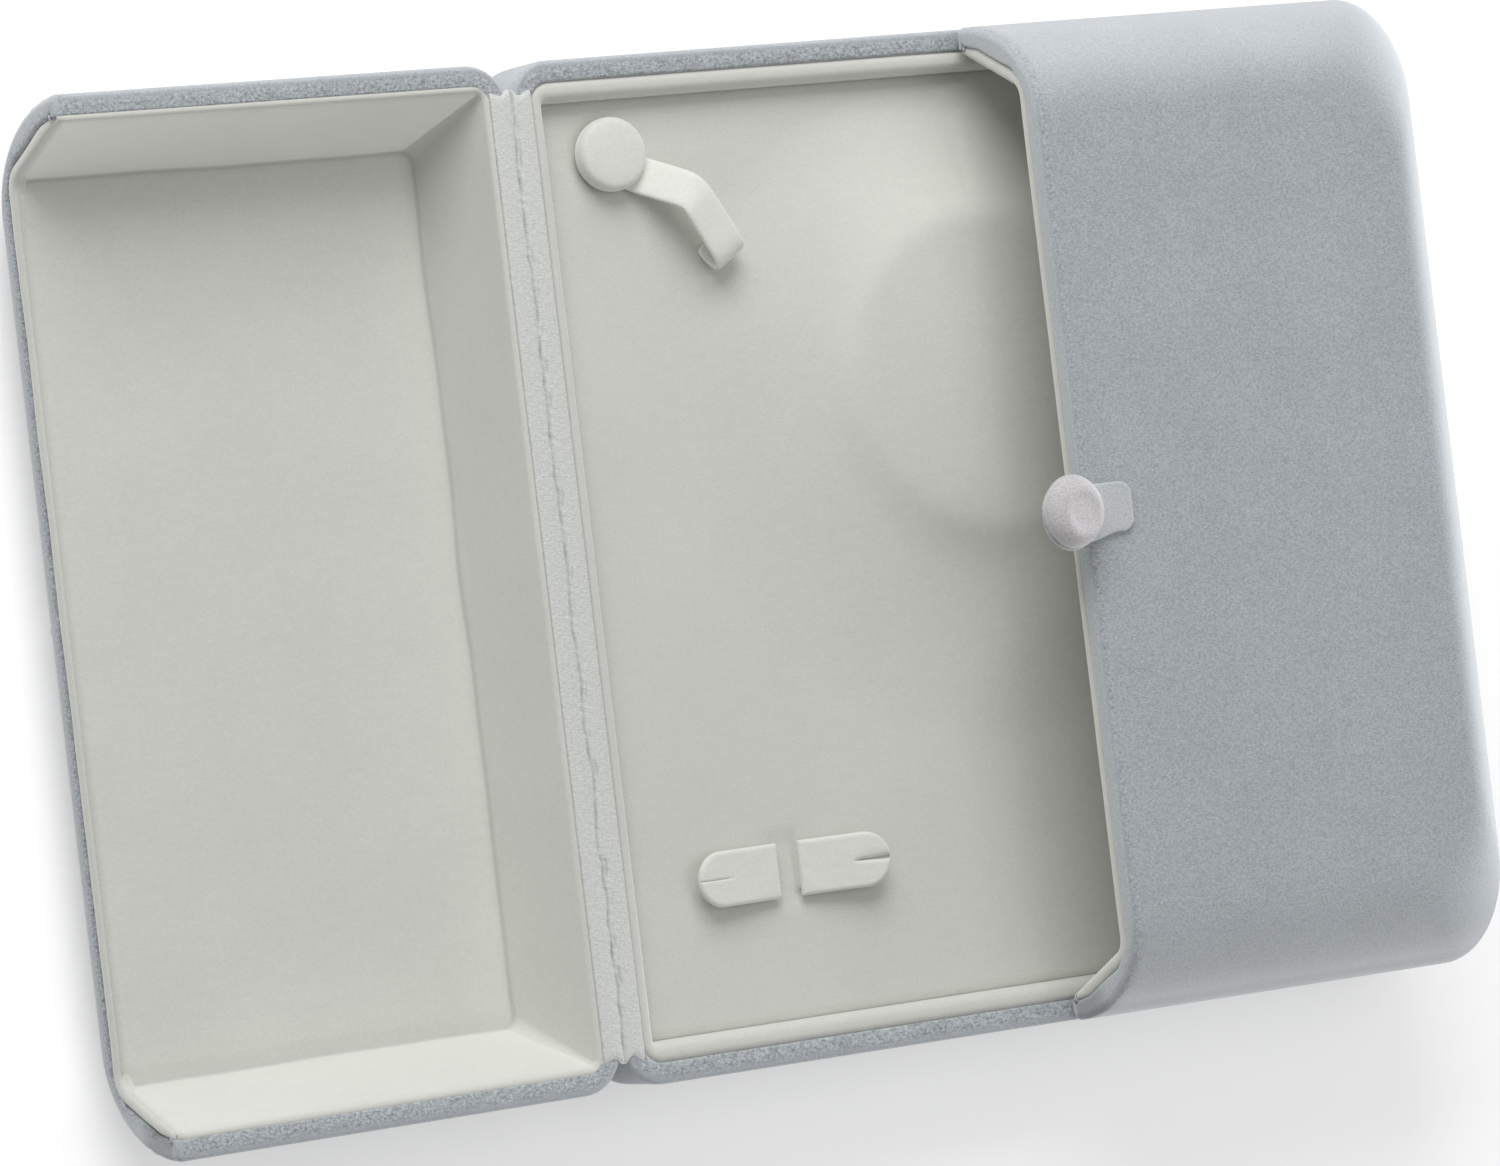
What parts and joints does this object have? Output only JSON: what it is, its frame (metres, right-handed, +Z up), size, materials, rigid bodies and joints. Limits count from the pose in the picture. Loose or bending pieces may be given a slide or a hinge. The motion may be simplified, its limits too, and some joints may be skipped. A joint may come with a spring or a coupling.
{
  "type": "necklace box",
  "caption": "Square velvet necklace box with a split double-door lid on cloth hinges, a snap clasp, and a padded panel with a raised bust, necklace hooks and earring tabs.",
  "frame": {"origin": "middle of the base's flat underside, on the table", "axes": "+X to the right hinge, +Y along the hinges to the end with the necklace hooks, +Z up out of the panel"},
  "size_m": [0.2848, 0.19, 0.0601],
  "materials": {
    "grey_velvet": "short pile velvet",
    "pale_velvet": "short pile velvet",
    "mauve_velvet": "short pile velvet",
    "cream_suede": "suede-like nap",
    "card": "pressed card",
    "foam": "open foam",
    "nickel": "nickel plated"
  },
  "bodies": {
    "base": {"base_velvet": "grey_velvet", "base_bottom_sheet": "grey_velvet", "left_hinge_leaf_base": "pale_velvet", "right_hinge_leaf_base": "pale_velvet", "base_collar": "cream_suede", "panel_cover": "cream_suede", "hook_left_strap": "cream_suede", "hook_left_button": "cream_suede", "hook_right_strap": "cream_suede", "hook_right_button": "cream_suede", "earring_tab_left": "cream_suede", "earring_tab_right": "cream_suede", "base_shell": "card", "panel_riser": "card", "panel_board": "card", "bust_former": "card", "panel_foam": "foam", "hook_left_rivet": "nickel", "hook_left_washer": "nickel", "hook_right_rivet": "nickel", "hook_right_washer": "nickel"},
    "left_door": {"left_door_velvet": "grey_velvet", "left_door_shell": "card", "left_door_liner": "card", "left_door_suede": "cream_suede", "left_hinge_leaf_door": "pale_velvet", "snap_stud": "nickel", "snap_stud_washer": "nickel"},
    "right_door": {"right_door_velvet": "grey_velvet", "right_door_shell": "card", "right_door_liner": "card", "right_door_suede": "cream_suede", "right_hinge_leaf_door": "pale_velvet", "clasp_tab_root": "pale_velvet"},
    "clasp": {"clasp_tab": "pale_velvet", "clasp_button": "mauve_velvet", "snap_socket": "nickel", "snap_post": "nickel"}
  },
  "joints": [
    {"name": "left_door_hinge", "type": "hinge", "parent": "base", "child": "left_door", "pos_m": [-0.095, 0, 0.0256], "axis": [0, 1, 0], "range_deg": [0, 176.7]},
    {"name": "right_door_hinge", "type": "hinge", "parent": "base", "child": "right_door", "pos_m": [0.095, 0, 0.0256], "axis": [0, 1, 0], "range_deg": [0, 174]},
    {"name": "clasp_fold", "type": "hinge", "parent": "right_door", "child": "clasp", "pos_m": [0.0048, 0.001, 0.05235], "axis": [0, 1, 0], "range_deg": [0, 112]}
  ],
  "couplings": [
    {"joint": "clasp_fold", "follows": "left_door_hinge", "ratio": 0.63}
  ]
}
